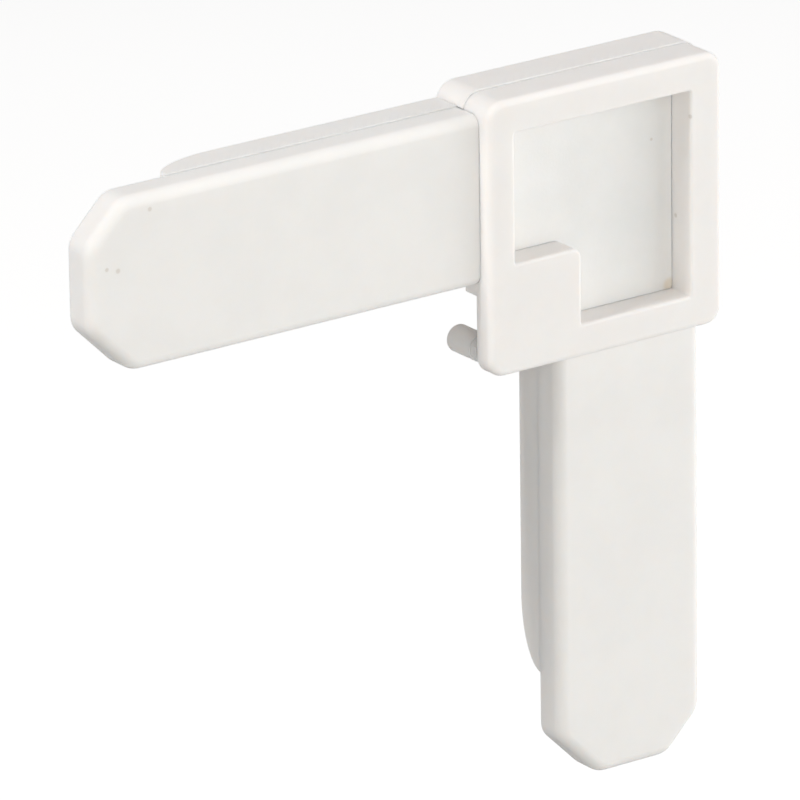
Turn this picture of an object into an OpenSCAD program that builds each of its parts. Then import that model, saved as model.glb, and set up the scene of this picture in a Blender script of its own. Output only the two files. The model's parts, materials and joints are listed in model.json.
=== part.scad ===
// Corner latch for a stair gate: a square head with a recessed release pad, and two arms
// that plug into the hollow top rail and the hollow upright of the gate.
// Millimetres. X is right, Y is back, Z is up. The origin is the centre of the head's rear face.
// Every module below draws in corner coordinates: x from the head's left face, y from its front
// face and z from its bottom face. in_frame() moves them to the origin.

/* [Head] */
// Width and height of the square head
head_w = 45; // [44:0.5:48]
// Depth of the head, front face to rear face
head_d = 14; // [14:0.1:15]
// Depth of the parting plane between bezel and rear housing
seam_y = 6.6; // [6.5:0.05:6.8]
// How far the rear housing stands proud of the bezel all round
rear_proud = 0.3; // [0.1:0.1:0.4]
// Corner radius of the bezel
bezel_corner = 2.85; // [2:0.05:3.5]
// Corner radius of the rear housing
rear_corner = 3.45; // [2.5:0.05:4]
// Thickness of the flange in front of the keeper notch
flange_t = 3.8; // [3:0.1:4.2]
// Side of the square keeper notch behind the flange
notch = 12.8; // [12:0.1:13]

/* [Thumb recess] */
// Depth of the recess
recess_d = 5.1; // [4.5:0.1:5.2]
// Border left of the recess
border_left = 4.95; // [4.8:0.05:5.5]
// Border right of the recess
border_right = 6.1; // [6:0.05:6.6]
// Border below the recess
border_bottom = 5.55; // [5.4:0.05:6]
// Border above the recess
border_top = 5.55; // [5.4:0.05:6]
// Side of the corner block that makes the recess L-shaped
block = 12.6; // [12:0.1:13]
// Rounding of the block's free corner
block_corner = 1.6; // [0.5:0.1:2.5]

/* [Arms] */
// Length of each arm from the head
arm_l = 72.4; // [60:0.5:90]
// Width of each arm
arm_w = 28; // [27:0.1:28.5]
// Distance from the head's outer side to the arm's outer side
arm_inset = 2.3; // [2:0.1:2.5]
// Depth of the arm's front face behind the head's front face
arm_face_y = 2.6; // [2.4:0.1:3]
// Depth of the parting plane between blade and runner
arm_part_y = 8; // [7.8:0.1:8.2]
// Depth of the runner's rear face
arm_rear_y = 13.5; // [13.2:0.1:13.7]
// Chamfer of the blade's tip on the inner side
tip_inner = 7.8; // [5:0.1:9]
// Chamfer of the blade's tip on the outer side
tip_outer = 6.55; // [5:0.1:9]
// Corner radius of the tip
tip_corner = 4; // [3:0.1:5]
// Round-over of the blade's front edges
blade_edge = 1.9; // [1:0.1:2.5]
// Length of the runner from the head
runner_l = 55; // [50:0.5:58]
// Length of the runner's curved lead-in
lead_in = 12.3; // [8:0.1:13]

/* [Release mechanism] */
// Travel of the release pad
travel = 2.6; // [1.5:0.1:2.6]
// Thickness of the release pad
pad_t = 1.5; // [1.4:0.05:1.6]
// Radius of the latch pin
pin_r = 2.25; // [2:0.05:2.4]
// Distance from the pin's axis to the head's left and bottom faces
pin_at = 2.9; // [2.7:0.05:3.2]
// Depth of the pin's tip at rest
pin_tip_y = 13; // [12:0.1:13.2]
// Radius of the guide pins
guide_r = 1.25; // [1:0.05:1.3]
// Mean radius of the return springs
spring_r = 2.6; // [2.5:0.05:2.8]
// Wire radius of the return springs
wire_r = 0.25; // [0.2:0.01:0.3]
// Turns of each return spring
spring_turns = 4.5; // [4:0.5:5.5]

/* [Fasteners] */
// Shank radius of the self-tapping screws
screw_r = 1; // [0.9:0.05:1]
// Head radius of the self-tapping screws
screw_head_r = 1.95; // [1.8:0.05:1.95]
// Head thickness of the self-tapping screws
screw_head_t = 0.9; // [0.8:0.1:0.9]

/* [Hidden] */
$fn = 64;

shell_colour = "#f3f0ec";
pad_colour = "#eceeec";
steel_colour = "#c3c6c9";
overlap = 0.1;

// head
wall = 2;
rear_wall = 2;
rear_inner_y = head_d - rear_wall;
inner_lo = wall - rear_proud;
inner_hi = head_w - inner_lo;

// recess
recess_lo = [border_left, border_bottom];
recess_hi = [head_w - border_right, head_w - border_top];
block_hi = recess_lo + [block, block];

// arms, drawn for the one that goes left into the top rail
arm_hi = head_w - arm_inset;
arm_lo = arm_hi - arm_w;
arm_mid = (arm_hi + arm_lo) / 2;
root_in = 3;
root_corner = 2;
root_gap = 0.05;
runner_proud = 0.3;
runner_inset = 0.2;
runner_gap = rear_proud + root_gap;
runner_lo = arm_lo + runner_inset;
runner_hi = arm_hi + runner_proud;
arm_wall = 2;
runner_skin = 1.6;
blade_skin = 2;
blade_boss_r = 2.3;
blade_hollow_x = -52;
runner_hollow_x = -42;
rib_t = 1.4;
tongue_in = 11.5;
tongue_half = 10.7;
tongue_y = [9.5, rear_inner_y - root_gap];

// release mechanism
pad_gap = 0.05;
pad_lap = 0.8;
pad_clear = 0.25;
pad_y = [recess_d + pad_gap, recess_d + pad_gap + pad_t];
pad_boss_r = 2;
pad_boss_y = pad_y[1] + 0.6;
pressed_gap = 0.2;
ear_half = pin_r - 0.15;
ear_back = pin_r - 0.25;
ear_cut = 1.2;
ear_end = 18;
ear_clear = 0.35;
guide_boss_r = 2;
guide_clear = 0.05;
guide_boss_y = pad_boss_y + travel + pressed_gap;
guide_tip_y = head_d - travel - pad_gap;
guide_root_y = pad_y[0] + 0.5;
rail_guide = [17, 36];
corner_guide = [36, 36];
post_guide = [36, 17];
guide_points = [rail_guide, corner_guide, post_guide];
pin_chamfer = 0.35;
pin_screw_r = 0.8;
pin_screw_head = [1.7, 0.75];
pin_screw_tip_y = 10;
spring_sides = 8;
spring_steps = 24;

// fasteners
thread_gap = 0.02;
screw_clear = 0.15;
screw_boss_r = 1.9;
arm_boss_r = 2.6;
head_recess = 1;
housing_screw_points = [[15.5, 42.4], [42.2, 42.2], [42.4, 15.5]];
housing_screw_tip_y = 3.4;
root_screw_x = 6.5;
root_screw_spread = 11.5;
root_screw_tip_y = tongue_y[0] + 0.2;
arm_screw_x = [-12, -38];
arm_screw_tip_y = 5;
arm_seat_y = arm_rear_y - head_recess;
housing_seat_y = head_d - head_recess;

// ---- placing helpers ----

module in_frame() {
    translate([-head_w / 2, -head_d, -head_w / 2]) children();
}

// swaps x and z, which turns the rail arm into the post arm
module to_post() {
    mirror([1, 0, -1]) children();
}

// extrudes an outline drawn in x and z from depth y0 to depth y1
module slab(y0, y1) {
    translate([0, y1, 0]) rotate([90, 0, 0]) linear_extrude(height = y1 - y0) children();
}

module rod(at, y0, y1, r) {
    translate([at[0], y1, at[1]]) rotate([90, 0, 0]) cylinder(h = y1 - y0, r = r);
}

module rect(lo, hi) {
    translate(lo) square([hi[0] - lo[0], hi[1] - lo[1]]);
}

module round_rect(lo, hi, r) {
    rect([lo[0] + r, lo[1]], [hi[0] - r, hi[1]]);
    rect([lo[0], lo[1] + r], [hi[0], hi[1] - r]);
    for (x = [lo[0] + r, hi[0] - r], z = [lo[1] + r, hi[1] - r]) translate([x, z]) circle(r);
}

// closed solid with rounded corners [x, z, radius], whose front edges are rounded by edge
module pillow(corners, y0, y1, edge, steps = 5) {
    hull() {
        for (c = corners) {
            rod(c, y1 - overlap, y1, c[2], $fn = 32);
            for (i = [0 : steps]) {
                turn = 90 * i / steps;
                y = y0 + edge * (1 - sin(turn));
                rod(c, y, y + overlap / 10, c[2] - edge * (1 - cos(turn)), $fn = 32);
            }
        }
    }
}

// ---- outlines in x and z ----

module recess_outline() {
    difference() {
        rect(recess_lo, recess_hi);
        difference() {
            rect(recess_lo - [1, 1], block_hi);
            rect(block_hi - [block_corner, block_corner], block_hi);
        }
        translate(block_hi - [block_corner, block_corner]) circle(block_corner);
    }
}

module pad_outline(grow = 0) {
    reach = pad_lap + grow;
    difference() {
        rect(recess_lo - [reach, reach], recess_hi + [reach, reach]);
        rect([0, 0], block_hi - [reach, reach]);
    }
}

// the pad's ear: a diagonal bar whose chamfered end carries the latch pin
module ear_outline(grow = 0) {
    half = ear_half + grow;
    back = ear_back + grow;
    far = (ear_end - pin_at) * sqrt(2);
    translate([pin_at, pin_at]) rotate(45) polygon([
        [far, -half], [far, half],
        [ear_cut - back, half], [-back, half - ear_cut], [-back, ear_cut - half], [ear_cut - back, -half]
    ]);
}

// ---- head ----

module front_bezel() {
    color(shell_colour) in_frame() difference() {
        slab(0, seam_y) round_rect([0, 0], [head_w, head_w], bezel_corner);
        slab(flange_t, seam_y + 1) rect([-1, -1], [notch, notch]);
        slab(-1, recess_d + overlap) recess_outline();
        slab(recess_d, seam_y + 1) pad_outline(pad_clear);
        slab(recess_d, seam_y + 1) ear_outline(ear_clear);
        root_pocket();
        to_post() root_pocket();
        for (p = housing_screw_points) rod(p, housing_screw_tip_y - 0.2, seam_y + 1, screw_r + thread_gap);
    }
}

// pocket in the bezel's side wall for the root of an arm's blade
module root_pocket() {
    slab(arm_face_y - root_gap, seam_y + 1)
        rect([-1, arm_lo - root_gap], [root_in + root_gap, arm_hi + root_gap]);
}

module rear_housing() {
    lo = -rear_proud;
    hi = head_w + rear_proud;
    color(shell_colour) in_frame() difference() {
        union() {
            difference() {
                slab(seam_y, head_d) {
                    round_rect([lo, notch], [hi, hi], rear_corner);
                    round_rect([notch, lo], [hi, hi], rear_corner);
                }
                slab(seam_y - 1, rear_inner_y) difference() {
                    rect([inner_lo, inner_lo], [inner_hi, inner_hi]);
                    rect([0, 0], [arm_lo, arm_lo]);
                }
            }
            for (p = guide_points) rod(p, guide_boss_y, rear_inner_y + overlap, guide_boss_r);
            for (p = housing_screw_points) rod(p, seam_y, rear_inner_y + overlap, screw_boss_r);
        }
        slab(seam_y - 1, pad_y[1] + travel + pressed_gap) ear_outline(ear_clear);
        arm_doorway();
        to_post() arm_doorway();
        for (p = guide_points) rod(p, seam_y, head_d + 1, guide_r + guide_clear);
        for (p = housing_screw_points) screw_hole(p, seam_y - 1, head_d, housing_seat_y);
        root_screw_holes();
        to_post() root_screw_holes();
    }
}

// way through the housing's side wall for the blade's root and the runner's tongue
module arm_doorway() {
    slab(seam_y - 1, arm_part_y + root_gap)
        rect([-1, arm_lo - root_gap], [root_in + root_gap, arm_hi + root_gap]);
    slab(tongue_y[0] - root_gap, rear_inner_y)
        rect([-1, arm_mid - tongue_half - root_gap], [inner_lo + 1, arm_mid + tongue_half + root_gap]);
}

module root_screw_holes() {
    for (p = root_screw_points()) screw_hole(p, rear_inner_y - 1, head_d, housing_seat_y);
}

function root_screw_points() =
    [for (s = [-0.5, 0.5]) [root_screw_x, arm_mid + s * root_screw_spread]];

// ---- arms ----

// the blade without its hollow
module blade_body() {
    r = tip_corner;
    pull = r * (sqrt(2) - 1);
    root_x = root_in - root_corner;
    pillow([
        [root_x, arm_lo + root_corner, root_corner],
        [root_x, arm_hi - root_corner, root_corner],
        [tip_outer + pull - arm_l, arm_hi - r, r],
        [r - arm_l, arm_hi - tip_outer - pull, r],
        [r - arm_l, arm_lo + tip_inner + pull, r],
        [tip_inner + pull - arm_l, arm_lo + r, r]
    ], arm_face_y, arm_part_y, blade_edge);
}

module arm_blade() {
    difference() {
        blade_body();
        difference() {
            slab(arm_face_y + blade_skin, arm_part_y + 1)
                rect([blade_hollow_x, arm_lo + arm_wall], [-arm_wall, arm_hi - arm_wall]);
            for (x = arm_screw_x) rod([x, arm_mid], arm_face_y, arm_part_y, blade_boss_r);
            slab(arm_face_y, arm_part_y) blade_ribs();
        }
        for (x = arm_screw_x)
            rod([x, arm_mid], arm_screw_tip_y - 0.2, arm_part_y + 1, screw_r + thread_gap);
    }
}

module blade_ribs() {
    translate([blade_hollow_x, arm_mid - rib_t / 2]) square([-blade_hollow_x, rib_t]);
    for (x = arm_screw_x) translate([x - rib_t / 2, arm_lo]) square([rib_t, arm_w]);
}

// runner seen from above: flat rear face and a quarter-ellipse lead-in
module runner_profile() {
    deep = arm_rear_y - arm_part_y;
    start = lead_in - runner_l;
    polygon(concat(
        [[-runner_gap, arm_part_y], [-runner_gap, arm_rear_y]],
        [for (a = [0 : 6 : 90]) [start - lead_in * sin(a), arm_part_y + deep * cos(a)]]
    ));
}

module arm_runner() {
    difference() {
        union() {
            difference() {
                translate([0, 0, runner_lo]) linear_extrude(height = runner_hi - runner_lo) runner_profile();
                slab(arm_part_y - 1, arm_rear_y - runner_skin)
                    rect([runner_hollow_x, runner_lo + arm_wall], [-runner_gap - arm_wall, runner_hi - arm_wall]);
            }
            for (x = arm_screw_x) rod([x, arm_mid], arm_part_y, arm_rear_y - overlap, arm_boss_r);
        }
        for (x = arm_screw_x) screw_hole([x, arm_mid], arm_part_y - 1, arm_rear_y, arm_seat_y);
    }
    arm_tongue();
}

// the part of the runner that reaches into the head
module arm_tongue() {
    difference() {
        slab(tongue_y[0], tongue_y[1])
            rect([-runner_gap - arm_wall / 2, arm_mid - tongue_half], [tongue_in, arm_mid + tongue_half]);
        for (p = root_screw_points()) rod(p, tongue_y[0] - 1, tongue_y[1] + 1, screw_r + thread_gap);
    }
}

module rail_arm_blade() {
    color(shell_colour) in_frame() arm_blade();
}

module rail_arm_runner() {
    color(shell_colour) in_frame() arm_runner();
}

module post_arm_blade() {
    color(shell_colour) in_frame() to_post() arm_blade();
}

module post_arm_runner() {
    color(shell_colour) in_frame() to_post() arm_runner();
}

// ---- release mechanism ----

module release_pad() {
    color(pad_colour) in_frame() difference() {
        union() {
            slab(pad_y[0], pad_y[1]) {
                pad_outline();
                ear_outline();
            }
            for (p = guide_points) rod(p, pad_y[1] - overlap, pad_boss_y, pad_boss_r);
        }
        for (p = guide_points) rod(p, guide_root_y, pad_boss_y + 1, guide_r);
        rod([pin_at, pin_at], pad_y[0] - 1, pad_y[1] + 1, pin_screw_r + thread_gap);
        rod([pin_at, pin_at], pad_y[0] - 1, pad_y[0] + pin_screw_head[1], pin_screw_head[0] + 0.05);
    }
}

module latch_pin() {
    chamfer_y = pin_tip_y - pin_chamfer;
    color(shell_colour) in_frame() difference() {
        union() {
            rod([pin_at, pin_at], pad_y[1], chamfer_y, pin_r);
            translate([pin_at, chamfer_y, pin_at]) rotate([-90, 0, 0])
                cylinder(h = pin_chamfer, r1 = pin_r, r2 = pin_r - pin_chamfer);
        }
        rod([pin_at, pin_at], pad_y[1] - 1, pin_screw_tip_y + 0.2, pin_screw_r + thread_gap);
    }
}

module guide_pins() {
    color(steel_colour) in_frame()
        for (p = guide_points) rod(p, guide_root_y, guide_tip_y, guide_r);
}

// points of one loop of the wire's round section, at a given turn of the coil
function spring_ring(at, turn, y) = [
    for (k = [0 : spring_sides - 1])
        let (a = 360 * k / spring_sides, r = spring_r + wire_r * cos(a))
        [at[0] + r * cos(turn), y + wire_r * sin(a), at[1] + r * sin(turn)]
];

module return_spring(at) {
    y0 = pad_y[1] + wire_r + thread_gap;
    rise = rear_inner_y - wire_r - thread_gap - y0;
    rings = floor(spring_turns * spring_steps);
    // the first and the last half turn lie flat, as ground ends do
    points = [
        for (i = [0 : rings])
            let (t = i / spring_steps, lift = min(max((t - 0.5) / (spring_turns - 1), 0), 1))
            each spring_ring(at, 360 * t, y0 + rise * lift)
    ];
    sides = [
        for (i = [0 : rings - 1], k = [0 : spring_sides - 1])
            let (a = i * spring_sides, b = a + spring_sides, n = (k + 1) % spring_sides)
            [a + k, a + n, b + n, b + k]
    ];
    first_cap = [for (k = [spring_sides - 1 : -1 : 0]) k];
    last_cap = [for (k = [0 : spring_sides - 1]) rings * spring_sides + k];
    polyhedron(points = points, faces = concat(sides, [first_cap], [last_cap]));
}

module rail_side_spring() {
    color(steel_colour) in_frame() return_spring(rail_guide);
}

module post_side_spring() {
    color(steel_colour) in_frame() return_spring(post_guide);
}

module corner_spring() {
    color(steel_colour) in_frame() return_spring(corner_guide);
}

// ---- fasteners ----

// pan-head self-tapping screw with a cross recess; seat_y is the face under its head
module screw(at, tip_y, seat_y, r = screw_r, head_r = screw_head_r, head_t = screw_head_t) {
    point = r * 0.8;
    difference() {
        union() {
            rod(at, tip_y + point, seat_y, r);
            translate([at[0], tip_y, at[1]]) rotate([-90, 0, 0]) cylinder(h = point, r1 = r / 3, r2 = r);
            rod(at, seat_y, seat_y + head_t, head_r);
        }
        for (turn = [0, 90]) translate([at[0], seat_y + head_t, at[1]]) rotate([0, turn, 0])
            cube([head_r * 1.2, head_t, head_r * 0.3], center = true);
    }
}

// clearance hole from depth y0 and a round recess for the head from seat_y out to the rear face
module screw_hole(at, y0, rear_y, seat_y) {
    rod(at, y0, rear_y + 1, screw_r + screw_clear);
    rod(at, seat_y, rear_y + 1, screw_head_r + screw_clear);
}

module housing_screws() {
    color(steel_colour) in_frame()
        for (p = housing_screw_points) screw(p, housing_screw_tip_y, housing_seat_y);
}

module root_screws() {
    for (p = root_screw_points()) screw(p, root_screw_tip_y, housing_seat_y);
}

module rail_root_screws() {
    color(steel_colour) in_frame() root_screws();
}

module post_root_screws() {
    color(steel_colour) in_frame() to_post() root_screws();
}

module arm_screws() {
    for (x = arm_screw_x) screw([x, arm_mid], arm_screw_tip_y, arm_seat_y);
}

module rail_arm_screws() {
    color(steel_colour) in_frame() arm_screws();
}

module post_arm_screws() {
    color(steel_colour) in_frame() to_post() arm_screws();
}

// countersunk by its flat head: holds the latch pin to the pad's ear from the front
module pin_screw() {
    head = pin_screw_head;
    color(steel_colour) in_frame() difference() {
        union() {
            rod([pin_at, pin_at], pad_y[0], pad_y[0] + head[1], head[0]);
            rod([pin_at, pin_at], pad_y[0] + overlap, pin_screw_tip_y, pin_screw_r);
        }
        for (turn = [0, 90]) translate([pin_at, pad_y[0], pin_at]) rotate([0, turn, 0])
            cube([head[0] * 1.2, head[1], head[0] * 0.3], center = true);
    }
}

front_bezel();
rear_housing();
rail_arm_blade();
rail_arm_runner();
post_arm_blade();
post_arm_runner();
release_pad();
latch_pin();
pin_screw();
guide_pins();
rail_side_spring();
post_side_spring();
corner_spring();
housing_screws();
rail_root_screws();
post_root_screws();
rail_arm_screws();
post_arm_screws();
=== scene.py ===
"""Looks of the stair gate latch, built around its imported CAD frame.

Pieces are modelled in millimetres in corner coordinates: x from the head's left face, y from its
front face towards the back, z from its bottom face. place() moves a finished piece to the frame.
"""
import json
import math

import bmesh
import bpy
from mathutils import Matrix, Vector


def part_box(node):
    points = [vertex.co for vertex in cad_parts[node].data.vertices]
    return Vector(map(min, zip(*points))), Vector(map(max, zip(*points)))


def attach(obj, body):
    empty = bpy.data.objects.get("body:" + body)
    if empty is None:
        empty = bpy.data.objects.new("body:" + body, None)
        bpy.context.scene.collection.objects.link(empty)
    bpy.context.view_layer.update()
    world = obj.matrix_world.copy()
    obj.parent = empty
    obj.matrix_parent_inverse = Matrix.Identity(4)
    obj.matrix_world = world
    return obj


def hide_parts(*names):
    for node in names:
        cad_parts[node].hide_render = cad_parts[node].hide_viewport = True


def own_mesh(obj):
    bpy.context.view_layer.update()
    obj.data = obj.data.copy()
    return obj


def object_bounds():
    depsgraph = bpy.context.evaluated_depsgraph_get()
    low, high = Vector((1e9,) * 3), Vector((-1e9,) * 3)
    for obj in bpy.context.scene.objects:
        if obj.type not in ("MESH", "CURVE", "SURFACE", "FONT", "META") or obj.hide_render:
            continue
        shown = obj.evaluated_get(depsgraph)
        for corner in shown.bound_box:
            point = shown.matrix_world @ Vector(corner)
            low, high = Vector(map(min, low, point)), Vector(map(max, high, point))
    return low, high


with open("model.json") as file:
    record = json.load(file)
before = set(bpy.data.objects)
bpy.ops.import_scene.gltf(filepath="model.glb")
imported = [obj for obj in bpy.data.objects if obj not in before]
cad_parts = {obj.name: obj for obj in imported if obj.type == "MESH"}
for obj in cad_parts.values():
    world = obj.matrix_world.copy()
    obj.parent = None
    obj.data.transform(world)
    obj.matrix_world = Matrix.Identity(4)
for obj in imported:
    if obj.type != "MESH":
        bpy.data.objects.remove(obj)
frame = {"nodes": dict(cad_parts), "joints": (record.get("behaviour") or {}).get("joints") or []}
CAD_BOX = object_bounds()

MM = 0.001
BODY = "latch_body"
RELEASE = "release"

# ---- sizes, in millimetres, in corner coordinates ----

BEZEL_LO, BEZEL_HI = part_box("front_bezel")
HEAD = (BEZEL_HI.x - BEZEL_LO.x) / MM
SEAM = (BEZEL_HI.y - BEZEL_LO.y) / MM


def corner(point):
    """A point of the frame, in metres, in corner coordinates."""
    return (Vector(point) - BEZEL_LO) / MM


HOUSING_LO, HOUSING_HI = (corner(p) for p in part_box("rear_housing"))
REAR = HOUSING_HI.y
PROUD = -HOUSING_LO.x
NOTCH = 12.8
FLANGE = 3.8
BEZEL_CORNER = 2.85
HOUSING_CORNER = 3.45
WALL_LO = 1.7
WALL_HI = HEAD - WALL_LO
REAR_WALL = 2.0
BEZEL_ROUND = 1.1
HOUSING_ROUND = 0.7
WINDOW_ROUND = 0.5
WALL_CORNER = 0.35

RECESS_LO = (4.95, 5.55)
RECESS_HI = (HEAD - 6.1, HEAD - 5.55)
BLOCK = (RECESS_LO[0] + 12.6, RECESS_LO[1] + 12.6)
BLOCK_CORNER = 1.6

BLADE_LO, BLADE_HI = (corner(p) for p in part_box("rail_arm_blade"))
RUNNER_LO, RUNNER_HI = (corner(p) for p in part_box("rail_arm_runner"))
ARM_MID = (BLADE_LO.z + BLADE_HI.z) / 2
TIP_INNER = 7.8
TIP_OUTER = 6.55
TIP_CORNER = 4.0
LEAD_IN = 12.3
ROOT_IN = 3.0
BLADE_ROUND = 1.9
RUNNER_ROUND = 0.4
TONGUE_HALF = 10.7
TONGUE_FRONT = 9.5
TONGUE_END = 11.5
DOOR_GAP = 0.05

PAD_FRONT = corner(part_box("release_pad")[0]).y
PAD_BACK = PAD_FRONT + 1.5
PAD_LAP = 0.8
PAD_CLEAR = 0.25
TRAVEL = frame["joints"][0]["range_m"][1] / MM
PIN_LO, PIN_HI = (corner(p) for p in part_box("latch_pin"))
PIN_AT = ((PIN_LO.x + PIN_HI.x) / 2, (PIN_LO.z + PIN_HI.z) / 2)
PIN_R = (PIN_HI.x - PIN_LO.x) / 2
EAR_END = 18.0
EAR_CLEAR = 0.35
EAR_CUT = 1.2
PRESSED_GAP = 0.2

GUIDES = [(17, 36), (36, 36), (36, 17)]
GUIDE_R = 1.25
GUIDE_BORE_R = 1.3
GUIDE_BOSS_R = 2.0
GUIDE_BOSS_Y = 10.05
SPRING_R = 2.6
WIRE_R = 0.25
SPRING_TURNS = 4.5

SCREW_R = 1.0
SCREW_HEAD_R = 1.95
SCREW_HEAD_T = 0.9
SCREW_CLEAR = 0.15
PILOT_R = SCREW_R + 0.02
SCREW_BOSS_R = 1.9
HOUSING_SEAT = REAR - 1
ARM_SEAT = RUNNER_HI.y - 1
HOUSING_SCREWS = [(15.5, 42.4), (42.2, 42.2), (42.4, 15.5)]
ROOT_SCREWS = [(6.5, ARM_MID - 5.75), (6.5, ARM_MID + 5.75)]
ARM_SCREWS = [(-12, ARM_MID), (-38, ARM_MID)]

# ---- studio, in metres ----

LIGHT_AWAY = 1.2
LIGHT_AIM = Vector((-0.02, -0.01, -0.01))
STRIP = (0.5, 0.12)  # width and thickness of a strip light
FLOOR_DROP = 0.25
FLOOR_HALF = 6
BEHIND = (0.57, 0.82, 0)  # where the floor glows most, seen from the object


# ---- outlines: lists of (u, v), anticlockwise ----

def rect(u0, v0, u1, v1):
    return [(u0, v0), (u1, v0), (u1, v1), (u0, v1)]


def inset(points, by, weights=None):
    """The outline moved inwards by a distance; weights give each edge its share of it."""
    n = len(points)
    weights = weights or [1] * n
    lines = []
    for i in range(n):
        a, b = Vector(points[i]), Vector(points[(i + 1) % n])
        along = (b - a).normalized()
        inward = Vector((-along.y, along.x))
        lines.append((a + inward * by * weights[i], along))
    moved = []
    for i in range(n):
        (p, d), (q, e) = lines[i - 1], lines[i]
        cross = d.x * e.y - d.y * e.x
        if abs(cross) < 1e-9:
            moved.append(tuple(q))
            continue
        gap = q - p
        moved.append(tuple(p + d * ((gap.x * e.y - gap.y * e.x) / cross)))
    return moved


def rounded(points, radii, steps=10):
    """The outline with an arc at each corner."""
    result = []
    n = len(points)
    for i in range(n):
        p = Vector(points[i])
        before = (Vector(points[i - 1]) - p).normalized()
        after = (Vector(points[(i + 1) % n]) - p).normalized()
        half = math.acos(max(-1, min(1, before.dot(after)))) / 2
        r = max(radii[i], 0.01)
        middle = (before + after).normalized()
        centre = p + middle * (r / math.sin(half))
        start = p + before * (r / math.tan(half)) - centre
        turn = math.pi - 2 * half
        if before.x * after.y - before.y * after.x > 0:
            turn = -turn
        for k in range(steps + 1):
            c, s = math.cos(turn * k / steps), math.sin(turn * k / steps)
            result.append((centre.x + start.x * c - start.y * s, centre.y + start.x * s + start.y * c))
    return result


def turns_left(points, i):
    n = len(points)
    a, b, c = Vector(points[i - 1]), Vector(points[i]), Vector(points[(i + 1) % n])
    return (b - a).x * (c - b).y - (b - a).y * (c - b).x > 0


def rounded_inset(points, radii, by, steps=10):
    """Like a real fillet's next line: outer corners get tighter and inner corners wider."""
    kept = [r - by if turns_left(points, i) else r + by for i, r in enumerate(radii)]
    return rounded(inset(points, by), kept, steps)


def circle(u, v, r, steps=48):
    return [(u + r * math.cos(2 * math.pi * k / steps), v + r * math.sin(2 * math.pi * k / steps))
            for k in range(steps)]


def round_over(y, radius, back=1, steps=7):
    """(depth, inset) pairs of a rounded edge, from the wall to the face at depth y.

    back=-1 is for a face whose solid lies in front of it.
    """
    pairs = []
    for k in range(steps + 1):
        turn = math.pi / 2 * k / steps
        pairs.append((y + back * radius * (1 - math.sin(turn)), radius * (1 - math.cos(turn))))
    return pairs


def flare(y, edge, back=1, steps=4):
    """(depth, inset) pairs of a cutter that leaves a quarter-round on the mouth it cuts."""
    return [(y - back * 0.5, -edge)] + [
        (y + back * edge * (1 - math.cos(math.pi / 2 * k / steps)),
         -edge * (1 - math.sin(math.pi / 2 * k / steps)))
        for k in range(steps + 1)
    ]


# ---- meshes ----

def new_object(name, bm):
    bmesh.ops.remove_doubles(bm, verts=bm.verts, dist=1e-5)
    bmesh.ops.recalc_face_normals(bm, faces=bm.faces)
    mesh = bpy.data.meshes.new(name)
    bm.to_mesh(mesh)
    bm.free()
    obj = bpy.data.objects.new(name, mesh)
    bpy.context.scene.collection.objects.link(obj)
    return obj


def loft(name, loops):
    """A closed solid through loops of 3-D points, all with the same count."""
    bm = bmesh.new()
    rings = [[bm.verts.new(p) for p in loop] for loop in loops]
    n = len(rings[0])
    for a, b in zip(rings, rings[1:]):
        for i in range(n):
            bm.faces.new((a[i], a[(i + 1) % n], b[(i + 1) % n], b[i]))
    bm.faces.new(rings[0])
    bm.faces.new(rings[-1])
    return new_object(name, bm)


def slab(name, points, radii, levels, steps=10):
    """A solid from an outline in x and z; levels are (depth, inset) pairs from front to back."""
    return loft(name, [
        [(u, y, v) for u, v in rounded_inset(points, radii, by, steps)] for y, by in levels
    ])


def rod(name, at, levels, steps=48):
    """A turned solid along y; levels are (depth, radius) pairs."""
    return loft(name, [[(u, y, v) for u, v in circle(at[0], at[1], r, steps)] for y, r in levels])


def boolean(obj, other, operation="DIFFERENCE"):
    modifier = obj.modifiers.new("cut", "BOOLEAN")
    modifier.operation = operation
    modifier.solver = "EXACT"
    modifier.object = other
    shape = bpy.data.meshes.new_from_object(obj.evaluated_get(bpy.context.evaluated_depsgraph_get()))
    obj.modifiers.clear()
    old = obj.data
    obj.data = shape
    bpy.data.meshes.remove(old)
    bpy.data.objects.remove(other)
    return obj


def to_post(obj):
    """Swaps x and z, which turns a piece of the rail arm into one of the post arm."""
    swap = Matrix(((0, 0, 1, 0), (0, 1, 0, 0), (1, 0, 0, 0), (0, 0, 0, 1)))
    obj.data.transform(swap)
    obj.data.flip_normals()
    return obj


def join(name, parts):
    bm = bmesh.new()
    for part in parts:
        bm.from_mesh(part.data)
        bpy.data.objects.remove(part)
    return new_object(name, bm)


def place(obj, name, body, material, nodes):
    mesh = obj.data
    mesh.transform(Matrix.Translation(BEZEL_LO) @ Matrix.Scale(MM, 4))
    obj.name = name
    mesh.name = name
    mesh.shade_smooth()
    mesh.set_sharp_from_angle(angle=math.radians(38))
    weighted = obj.modifiers.new("weighted normals", "WEIGHTED_NORMAL")
    weighted.keep_sharp = True
    weighted.weight = 80
    mesh.materials.clear()
    mesh.materials.append(material)
    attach(obj, body)
    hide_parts(*nodes)
    return obj


# ---- materials ----

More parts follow.
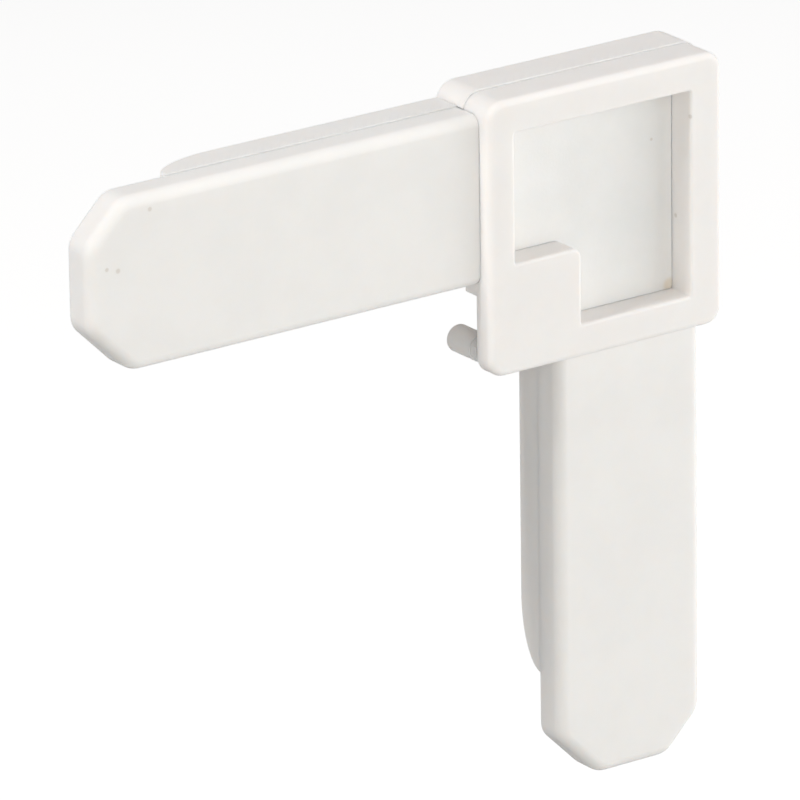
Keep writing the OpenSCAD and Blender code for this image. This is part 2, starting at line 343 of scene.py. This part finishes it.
class Nodes:
    """Short names for building a material's node tree."""

    def __init__(self, name):
        self.material = bpy.data.materials.new(name)
        self.material.use_nodes = True
        self.tree = self.material.node_tree
        self.shader = self.tree.nodes["Principled BSDF"]
        self.place = self.add("ShaderNodeTexCoord").outputs["Object"]

    def add(self, kind, **values):
        node = self.tree.nodes.new(kind)
        for key, value in values.items():
            setattr(node, key, value)
        return node

    def link(self, a, b):
        self.tree.links.new(a, b)

    def noise(self, size, detail=3, rough=0.55):
        """Noise with features of about this size in millimetres, from 0 to 1."""
        node = self.add("ShaderNodeTexNoise")
        node.inputs["Scale"].default_value = 1 / (size * MM)
        node.inputs["Detail"].default_value = detail
        node.inputs["Roughness"].default_value = rough
        self.link(self.place, node.inputs["Vector"])
        return node.outputs["Fac"]

    def ramp(self, value, low, high, to_low=0.0, to_high=1.0):
        node = self.add("ShaderNodeMapRange")
        node.interpolation_type = "SMOOTHSTEP"
        self.link(value, node.inputs["Value"])
        for key, number in zip(("From Min", "From Max", "To Min", "To Max"), (low, high, to_low, to_high)):
            node.inputs[key].default_value = number
        return node.outputs["Result"]

    def math(self, operation, a, b):
        node = self.add("ShaderNodeMath", operation=operation)
        for socket, value in zip(node.inputs, (a, b)):
            if isinstance(value, (int, float)):
                socket.default_value = value
            else:
                self.link(value, socket)
        return node.outputs[0]

    def mix(self, share, a, b):
        """Colours a and b, mixed by share; each is a tuple or a socket."""
        node = self.add("ShaderNodeMix", data_type="RGBA")
        self.link(share, node.inputs["Factor"])
        for key, value in (("A", a), ("B", b)):
            socket = [s for s in node.inputs if s.name == key and s.type == "RGBA"][0]
            if isinstance(value, tuple):
                socket.default_value = (*value, 1)
            else:
                self.link(value, socket)
        return [s for s in node.outputs if s.type == "RGBA"][0]

    def near(self, point, radius):
        """1 within a radius of a point in corner coordinates, in millimetres, and 0 outside."""
        node = self.add("ShaderNodeVectorMath", operation="DISTANCE")
        self.link(self.place, node.inputs[0])
        node.inputs[1].default_value = BEZEL_LO + Vector(point) * MM
        return self.ramp(node.outputs["Value"], radius * MM, radius * 0.4 * MM)

    def bump(self, height, depth, strength=1.0, after=None):
        """Relief this deep, in millimetres, for a height from 0 to 1."""
        node = self.add("ShaderNodeBump")
        node.inputs["Strength"].default_value = strength
        node.inputs["Distance"].default_value = depth * MM
        self.link(height, node.inputs["Height"])
        if after is not None:
            self.link(after, node.inputs["Normal"])
        return node.outputs["Normal"]


def moulded_plastic(name, light, shade, grain, relief, roughness, depth, specks_and_painted_shade=()):
    """White moulded plastic: a soft mottle, a fine grain from the mould, a few dark specks, and any
    patches of painted shade that a caller passes with them.
    """
    n = Nodes(name)
    mottle = n.noise(9, 4)
    colour = n.mix(n.ramp(mottle, 0.35, 0.65), shade, light)
    fine = n.noise(grain, 2, 0.6)
    # each mark is either a real speck or a patch of painted shade, as the caller passes it
    for point, radius, tint in specks_and_painted_shade:
        colour = n.mix(n.near(point, radius), colour, tint)
    n.link(colour, n.shader.inputs["Base Color"])
    n.link(n.ramp(n.noise(1.6, 4), 0.3, 0.7, roughness[0], roughness[1]), n.shader.inputs["Roughness"])
    flow = n.bump(n.noise(5, 2), 0.03, 0.35)
    n.link(n.bump(fine, relief, 0.6, flow), n.shader.inputs["Normal"])
    n.shader.inputs["IOR"].default_value = 1.5
    n.shader.inputs["Specular IOR Level"].default_value = 0.3
    n.shader.inputs["Subsurface Weight"].default_value = 1.0
    n.shader.inputs["Subsurface Radius"].default_value = (1.0, 0.92, 0.85)
    n.shader.inputs["Subsurface Scale"].default_value = depth * MM
    return n.material


def zinc_steel(name):
    """Zinc-plated steel, a little uneven in colour and gloss."""
    n = Nodes(name)
    colour = n.mix(n.ramp(n.noise(1.5, 4), 0.3, 0.7), (0.60, 0.61, 0.62), (0.74, 0.75, 0.76))
    n.link(colour, n.shader.inputs["Base Color"])
    n.shader.inputs["Metallic"].default_value = 1.0
    n.link(n.ramp(n.noise(0.4, 3), 0.3, 0.7, 0.24, 0.42), n.shader.inputs["Roughness"])
    n.link(n.bump(n.noise(0.12, 2), 0.01, 0.4), n.shader.inputs["Normal"])
    return n.material


SPECK = (0.76, 0.72, 0.68)
# colour of painted shade, for the darkening where the recess's right and bottom walls meet
RECESS_CORNER_SHADE = (0.80, 0.74, 0.66)
SHELL = moulded_plastic(
    "shell plastic", (0.922, 0.886, 0.866), (0.904, 0.870, 0.850), 0.14, 0.010, (0.52, 0.62), 0.8,
    [((RECESS_HI[0], 4.1, 17.9), 0.5, SPECK), ((RECESS_HI[0], 0.3, 35.2), 0.5, SPECK)])
ARM = moulded_plastic(
    "arm plastic", (0.898, 0.876, 0.858), (0.880, 0.860, 0.843), 0.20, 0.014, (0.56, 0.66), 0.9,
    [((-61.1, BLADE_LO.y, 40.2), 0.5, SPECK), ((-69.1, BLADE_LO.y, 32.2), 0.45, SPECK),
     ((-67.1, BLADE_LO.y, 31.6), 0.55, SPECK)])
PAD = moulded_plastic(
    "pad plastic", (0.880, 0.868, 0.856), (0.855, 0.848, 0.836), 0.30, 0.040, (0.62, 0.74), 0.3,
    [((35, PAD_FRONT, 31), 0.35, SPECK),
     # painted shade: a brownish darkening in the recess's lower-right corner, where its walls meet
     ((RECESS_HI[0] - 0.5, PAD_FRONT, RECESS_LO[1] + 0.6), 1.6, RECESS_CORNER_SHADE)])
STEEL = zinc_steel("zinc steel")


# ---- head ----

def recess_points(grow=0.0):
    """The L-shaped recess, anticlockwise from the foot of the corner block."""
    (x0, z0), (x1, z1), (bx, bz) = RECESS_LO, RECESS_HI, BLOCK
    points = [(bx, z0), (x1, z0), (x1, z1), (x0, z1), (x0, bz), (bx, bz)]
    return inset(points, -grow) if grow else points


def ear_points(grow=0.0):
    """The pad's ear: a bar with a chamfered end at the latch pin, running up to the right."""
    half, back, cut = PIN_R - 0.15 + grow, PIN_R - 0.25 + grow, EAR_CUT
    cx, cz = PIN_AT
    far = (EAR_END - cx) * math.sqrt(2)
    points = [(far, -half), (far, half), (cut - back, half), (-back, half - cut),
              (-back, cut - half), (cut - back, -half)]
    c = math.sqrt(0.5)
    return [(cx + (u - v) * c, cz + (u + v) * c) for u, v in points]


def prism(name, points, y0, y1):
    return loft(name, [[(u, y, v) for u, v in points] for y in (y0, y1)])


def front_bezel():
    square = rect(0, 0, HEAD, HEAD)
    corners = [BEZEL_CORNER] * 4
    levels = list(reversed(round_over(0, BEZEL_ROUND)))
    levels += [(FLANGE - 0.2, 0), (FLANGE - 0.06, 0.06), (FLANGE, 0.2)]
    bezel = slab("bezel", square, corners, levels)
    ell = [(NOTCH, 0), (HEAD, 0), (HEAD, HEAD), (0, HEAD), (0, NOTCH), (NOTCH, NOTCH)]
    ell_corners = [0.3, BEZEL_CORNER, BEZEL_CORNER, BEZEL_CORNER, 0.3, 0.5]
    back = slab("back", ell, ell_corners, [(FLANGE - 0.6, 0), (SEAM - 0.03, 0), (SEAM, 0.03)])
    boolean(bezel, back, "UNION")
    window = slab("window", recess_points(), [0.3] + [WALL_CORNER] * 3 + [0.3, BLOCK_CORNER],
                  flare(0, WINDOW_ROUND) + [(PAD_FRONT + 0.2, 0)])
    boolean(bezel, window)
    boolean(bezel, prism("pocket", recess_points(PAD_LAP + PAD_CLEAR), PAD_FRONT, SEAM + 1))
    boolean(bezel, prism("ear way", ear_points(EAR_CLEAR), PAD_FRONT, SEAM + 1))
    for turn in (False, True):
        pocket = arm_blade_shape("root pocket", 0.01)
        boolean(bezel, to_post(pocket) if turn else pocket)
    for at in HOUSING_SCREWS:
        boolean(bezel, rod("pilot", at, [(3.2, PILOT_R), (SEAM + 1, PILOT_R)], 24))
    return place(bezel, "bezel_frame", BODY, SHELL, ["front_bezel"])


def screw_well(name, at, y0, seat, rear):
    """Clearance hole and the round recess for a screw's head, with a soft mouth."""
    hole, well = SCREW_R + SCREW_CLEAR, SCREW_HEAD_R + SCREW_CLEAR
    mouth = [(y, well - by) for y, by in reversed(flare(rear, 0.15, -1))]
    return rod(name, at, [(y0, hole), (seat, hole), (seat, well)] + mouth)


def rear_housing():
    lo, hi = -PROUD, HEAD + PROUD
    ell = [(NOTCH, lo), (hi, lo), (hi, hi), (lo, hi), (lo, NOTCH), (NOTCH, NOTCH)]
    levels = [(SEAM, 0.08), (SEAM + 0.08, 0)] + round_over(REAR, HOUSING_ROUND, back=-1)
    housing = slab("housing", ell, [HOUSING_CORNER] * 5 + [0.6], levels)
    inner = REAR - REAR_WALL
    arm_lo = BLADE_LO.z
    cavity = [(arm_lo, WALL_LO), (WALL_HI, WALL_LO), (WALL_HI, WALL_HI), (WALL_LO, WALL_HI),
              (WALL_LO, arm_lo), (arm_lo, arm_lo)]
    boolean(housing, slab("cavity", cavity, [0.8] * 6, [(SEAM - 1, 0), (inner - 0.3, 0), (inner, 0.3)], 4))
    for at in GUIDES:
        boss = rod("boss", at, [(GUIDE_BOSS_Y, GUIDE_BOSS_R), (inner + 0.1, GUIDE_BOSS_R)])
        boolean(housing, boss, "UNION")
    for at in HOUSING_SCREWS:
        boss = rod("boss", at, [(SEAM, SCREW_BOSS_R), (inner + 0.1, SCREW_BOSS_R)], 32)
        boolean(housing, boss, "UNION")
    boolean(housing, prism("ear way", ear_points(EAR_CLEAR), SEAM - 1, PAD_BACK + TRAVEL + PRESSED_GAP))
    for turn in (False, True):
        for low, high, y0, y1 in ((BLADE_LO.z, BLADE_HI.z, SEAM - 1, BLADE_HI.y),
                                  (ARM_MID - TONGUE_HALF, ARM_MID + TONGUE_HALF, TONGUE_FRONT, inner)):
            outline = rect(-1, low - DOOR_GAP, WALL_LO + 1.3, high + DOOR_GAP)
            door = prism("door", outline, y0, y1 + DOOR_GAP)
            boolean(housing, to_post(door) if turn else door)
        for at in ROOT_SCREWS:
            well = screw_well("well", at, inner - 1, HOUSING_SEAT, REAR)
            boolean(housing, to_post(well) if turn else well)
    for at in GUIDES:
        mouth = [(y, GUIDE_BORE_R - by) for y, by in reversed(flare(REAR, 0.2, -1))]
        boolean(housing, rod("bore", at, [(SEAM, GUIDE_BORE_R)] + mouth))
    for at in HOUSING_SCREWS:
        boolean(housing, screw_well("well", at, SEAM - 1, HOUSING_SEAT, REAR))
    return place(housing, "housing_shell", BODY, SHELL, ["rear_housing"])


# ---- arms ----

def arm_blade_shape(name, grow=0.0):
    """The rail arm's blade: soft front edges and a tip with two rounded chamfers."""
    lo, hi, tip = BLADE_LO.z, BLADE_HI.z, BLADE_LO.x
    points = [(tip + TIP_INNER, lo), (ROOT_IN, lo), (ROOT_IN, hi), (tip + TIP_OUTER, hi),
              (tip, hi - TIP_OUTER), (tip, lo + TIP_INNER)]
    radii = [TIP_CORNER] * 6
    levels = list(reversed(round_over(BLADE_LO.y - grow, BLADE_ROUND, steps=10)))
    levels += [(BLADE_HI.y - 0.04 + grow, 0), (BLADE_HI.y + grow, 0.04)]
    return slab(name, inset(points, -grow), [r + grow for r in radii], levels, 12)


def arm_runner_shape(name):
    """The rail arm's runner: square root, flat back and quarter-ellipse end, seen from above."""
    root, back, part = -PROUD - DOOR_GAP, RUNNER_HI.y, RUNNER_LO.y
    start = RUNNER_LO.x + LEAD_IN
    curve = [(start - LEAD_IN * math.sin(a), part + (back - part) * math.cos(a))
             for a in (math.pi / 2 * k / 18 for k in range(19))]
    points = [(root, part), (root, back)] + curve
    # edges in order: the root, the flat back, the curve to its tip and the parting face
    shares = [0] + [1] * len(curve) + [0]
    levels = list(reversed(round_over(RUNNER_LO.z, RUNNER_ROUND)))
    levels += round_over(RUNNER_HI.z, RUNNER_ROUND, back=-1)
    return loft(name, [[(x, y, z) for x, y in inset(points, by, shares)] for z, by in levels])


def arm_runner(name, node, turn):
    runner = arm_runner_shape(name)
    front, rear = TONGUE_FRONT, REAR - REAR_WALL - DOOR_GAP
    outline = rect(-PROUD - 1, ARM_MID - TONGUE_HALF, TONGUE_END, ARM_MID + TONGUE_HALF)
    levels = [(front, 0.2), (front + 0.2, 0), (rear - 0.2, 0), (rear, 0.2)]
    tongue = slab("tongue", outline, [0.5] * 4, levels, 4)
    boolean(runner, tongue, "UNION")
    for at in ARM_SCREWS:
        boolean(runner, screw_well("well", at, RUNNER_LO.y - 1, ARM_SEAT, RUNNER_HI.y))
    for at in ROOT_SCREWS:
        boolean(runner, rod("pilot", at, [(9, PILOT_R), (13, PILOT_R)], 24))
    if turn:
        to_post(runner)
    return place(runner, name, BODY, ARM, [node])


def arm_blade(name, node, turn):
    blade = arm_blade_shape(name)
    for at in ARM_SCREWS:
        boolean(blade, rod("pilot", at, [(4.8, PILOT_R), (9, PILOT_R)], 24))
    if turn:
        to_post(blade)
    return place(blade, name, BODY, ARM, [node])


# ---- release mechanism ----

def latch_pin():
    y0, y1 = PIN_LO.y, PIN_HI.y
    tip = [(y, PIN_R - by) for y, by in round_over(y1, 0.45, back=-1)]
    pin = rod("pin", PIN_AT, [(y0, PIN_R)] + tip, 64)
    boolean(pin, rod("bore", PIN_AT, [(y0 - 1, 0.82), (10.2, 0.82)], 24))
    return place(pin, "pin_barrel", RELEASE, ARM, ["latch_pin"])


def cross_cut(shape, at, y, head_r, depth):
    """Cuts a cross recess with tapering slots into a screw's head."""
    for turn in (0, math.pi / 2):
        c, s = math.cos(turn), math.sin(turn)
        loops = []
        for level, reach, half in ((y, 0.62, 0.16), (y - depth, 0.34, 0.09)):
            pts = rect(-head_r * reach, -head_r * half, head_r * reach, head_r * half)
            loops.append([(at[0] + u * c - v * s, level, at[1] + u * s + v * c) for u, v in pts])
        boolean(shape, loft("slot", loops))


def screw_shape(at, tip, seat):
    """A pan-head self-tapping screw, head to the rear."""
    top = seat + SCREW_HEAD_T
    dome = [(seat, SCREW_HEAD_R - 0.12), (seat + 0.12, SCREW_HEAD_R)]
    dome += [(seat + 0.3 + 0.6 * math.sin(a), SCREW_HEAD_R * (0.25 + 0.75 * math.cos(a)))
             for a in (math.pi / 2 * k / 8 for k in range(9))]
    levels = [(tip, SCREW_R / 3), (tip + 0.8, SCREW_R), (seat, SCREW_R)] + dome
    shape = rod("screw", at, levels, 40)
    cross_cut(shape, at, top + 0.05, SCREW_HEAD_R, 0.65)
    return shape


def screws(name, node, points, tip, seat, turn=False):
    group = join(name, [screw_shape(at, tip, seat) for at in points])
    if turn:
        to_post(group)
    return place(group, name, BODY, STEEL, [node])


def pin_screw():
    front, seat = PAD_FRONT, PAD_FRONT + 0.75
    levels = [(front, 1.6), (front + 0.1, 1.7), (seat, 1.7), (seat, 0.8), (9.6, 0.8), (10, 0.4)]
    screw = rod("pin screw", PIN_AT, levels, 40)
    return place(screw, "pin_fixing", RELEASE, STEEL, ["pin_screw"])


def guide_pins():
    lo, hi = (corner(p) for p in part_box("guide_pins"))
    levels = [(lo.y, 1.05), (lo.y + 0.2, GUIDE_R), (hi.y - 0.3, GUIDE_R), (hi.y, 0.95)]
    pins = join("pins", [rod("pin", at, levels) for at in GUIDES])
    return place(pins, "guide_dowels", RELEASE, STEEL, ["guide_pins"])


def spring(name, node, at):
    """A coil of round wire whose end turns lie flat."""
    lo, hi = (corner(p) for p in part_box(node))
    y0, rise = lo.y + WIRE_R, hi.y - lo.y - 2 * WIRE_R
    around, sides = 40, 14
    loops = []
    for i in range(int(SPRING_TURNS * around) + 1):
        turn = i / around
        y = y0 + rise * min(max((turn - 0.5) / (SPRING_TURNS - 1), 0), 1)
        c, s = math.cos(2 * math.pi * turn), math.sin(2 * math.pi * turn)
        loop = []
        for k in range(sides):
            a = 2 * math.pi * k / sides
            r = SPRING_R + WIRE_R * math.cos(a)
            loop.append((at[0] + r * c, y + WIRE_R * math.sin(a), at[1] + r * s))
        loops.append(loop)
    coil = place(loft(name, loops), name, BODY, STEEL, [node])
    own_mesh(coil)
    return coil


# ---- camera, light and floor ----

def camera():
    """Looks at the head from the left, a little from above, through a long lens."""
    azimuth, elevation, roll = (math.radians(d) for d in (35.12, 20.0, -0.8))
    right = Vector((math.cos(azimuth), -math.sin(azimuth), 0))
    up = Vector((math.sin(azimuth) * math.sin(elevation), math.cos(azimuth) * math.sin(elevation),
                 math.cos(elevation)))
    back = right.cross(up)
    aim = BEZEL_LO - right * 0.014206 - up * 0.002767
    distance = 1.521
    data = bpy.data.cameras.new("camera")
    data.sensor_width = 36
    data.lens = 441.2
    data.clip_end = 20
    obj = bpy.data.objects.new("camera", data)
    side = right * math.cos(roll) + up * math.sin(roll)
    top = up * math.cos(roll) - right * math.sin(roll)
    turn = Matrix((side, top, back)).transposed()
    obj.matrix_world = Matrix.Translation(aim + back * distance) @ turn.to_4x4()
    bpy.context.scene.collection.objects.link(obj)
    bpy.context.scene.camera = obj


def soft_light(name, towards, power, width=0.6, thickness=None, colour=(1, 1, 1)):
    """An area light that shines on the object from this direction, LIGHT_AWAY from it.

    With a thickness it is a strip whose narrow side runs from the object's front to its back.
    """
    data = bpy.data.lights.new(name, "AREA")
    data.shape = "RECTANGLE"
    data.size, data.size_y = width, thickness or width
    data.energy = power
    data.color = colour
    obj = bpy.data.objects.new(name, data)
    way = Vector(towards).normalized()
    across = Vector((0, 1, 0)).cross(way) if thickness else Vector((0, 0, 1)).cross(way)
    across.normalize()
    turn = Matrix((across, way.cross(across), way)).transposed()
    obj.matrix_world = Matrix.Translation(LIGHT_AIM + way * LIGHT_AWAY) @ turn.to_4x4()
    bpy.context.scene.collection.objects.link(obj)


def studio():
    world = bpy.data.worlds.new("studio")
    world.use_nodes = True
    world.node_tree.nodes["Background"].inputs["Color"].default_value = (1, 0.96, 0.93, 1)
    world.node_tree.nodes["Background"].inputs["Strength"].default_value = 0.19
    bpy.context.scene.world = world
    soft_light("front left", (-0.5, -1, -0.1), 2.0, colour=(1.0, 0.98, 0.90))
    soft_light("front top left", (-0.5, -1, 0.45), 3.3, colour=(0.98, 1.0, 0.96))
    soft_light("front top", (0, -0.8, 1), 0.7)
    soft_light("front right", (0.8, -1, 0.1), 3.1, colour=(0.95, 0.99, 1.0))
    soft_light("right", (1, -0.4, 0.05), 4.8)
    soft_light("top right", (0.7, 0, 0.7), 1.2)
    soft_light("rear top", (0, 0.7, 0.9), 0.9)
    soft_light("strip top left", (-1, 0, 1.2), 6.7, *STRIP)
    soft_light("strip left", (-1, -0.12, 0.84), 1.4, *STRIP)
    bpy.context.scene.view_settings.view_transform = "Standard"


def floor():
    """A grey floor that glows further out, most strongly behind the object.

    It reads white from the photograph's angle. On the camera's side its glow is weaker.
    """
    bm = bmesh.new()
    bmesh.ops.create_grid(bm, x_segments=2, y_segments=2, size=FLOOR_HALF)
    obj = new_object("floor", bm)
    obj.location = (0, 0, CAD_BOX[0].z - FLOOR_DROP)
    n = Nodes("pale floor")
    n.shader.inputs["Base Color"].default_value = (0.42, 0.42, 0.42, 1)
    n.shader.inputs["Roughness"].default_value = 0.9
    n.shader.inputs["Emission Color"].default_value = (1, 1, 1, 1)
    away = n.add("ShaderNodeVectorMath", operation="LENGTH")
    n.link(n.place, away.inputs[0])
    glow = n.ramp(away.outputs["Value"], 0.3, 0.45, 0.0, 0.8)
    fade = n.ramp(away.outputs["Value"], 1.1, 2.0, 1.0, 0.5)
    behind = n.add("ShaderNodeVectorMath", operation="DOT_PRODUCT")
    n.link(n.place, behind.inputs[0])
    behind.inputs[1].default_value = BEHIND
    facing = n.math("DIVIDE", behind.outputs["Value"], away.outputs["Value"])
    side = n.ramp(facing, -0.5, 0.8, 0.35, 1.0)
    strength = n.math("MULTIPLY", n.math("MULTIPLY", glow, fade), side)
    n.link(strength, n.shader.inputs["Emission Strength"])
    obj.data.materials.append(n.material)


camera()
studio()
floor()

front_bezel()
rear_housing()
arm_blade("rail_blade", "rail_arm_blade", False)
arm_blade("post_blade", "post_arm_blade", True)
arm_runner("rail_runner", "rail_arm_runner", False)
arm_runner("post_runner", "post_arm_runner", True)
latch_pin()
pin_screw()
guide_pins()
spring("rail_coil", "rail_side_spring", GUIDES[0])
spring("corner_coil", "corner_spring", GUIDES[1])
spring("post_coil", "post_side_spring", GUIDES[2])
screws("head_screws", "housing_screws", HOUSING_SCREWS, 3.4, HOUSING_SEAT)
screws("rail_root_fixings", "rail_root_screws", ROOT_SCREWS, 9.7, HOUSING_SEAT)
screws("post_root_fixings", "post_root_screws", ROOT_SCREWS, 9.7, HOUSING_SEAT, True)
screws("rail_arm_fixings", "rail_arm_screws", ARM_SCREWS, 5, ARM_SEAT)
screws("post_arm_fixings", "post_arm_screws", ARM_SCREWS, 5, ARM_SEAT, True)

pad = frame["nodes"]["release_pad"]
pad.data.materials.clear()
pad.data.materials.append(PAD)
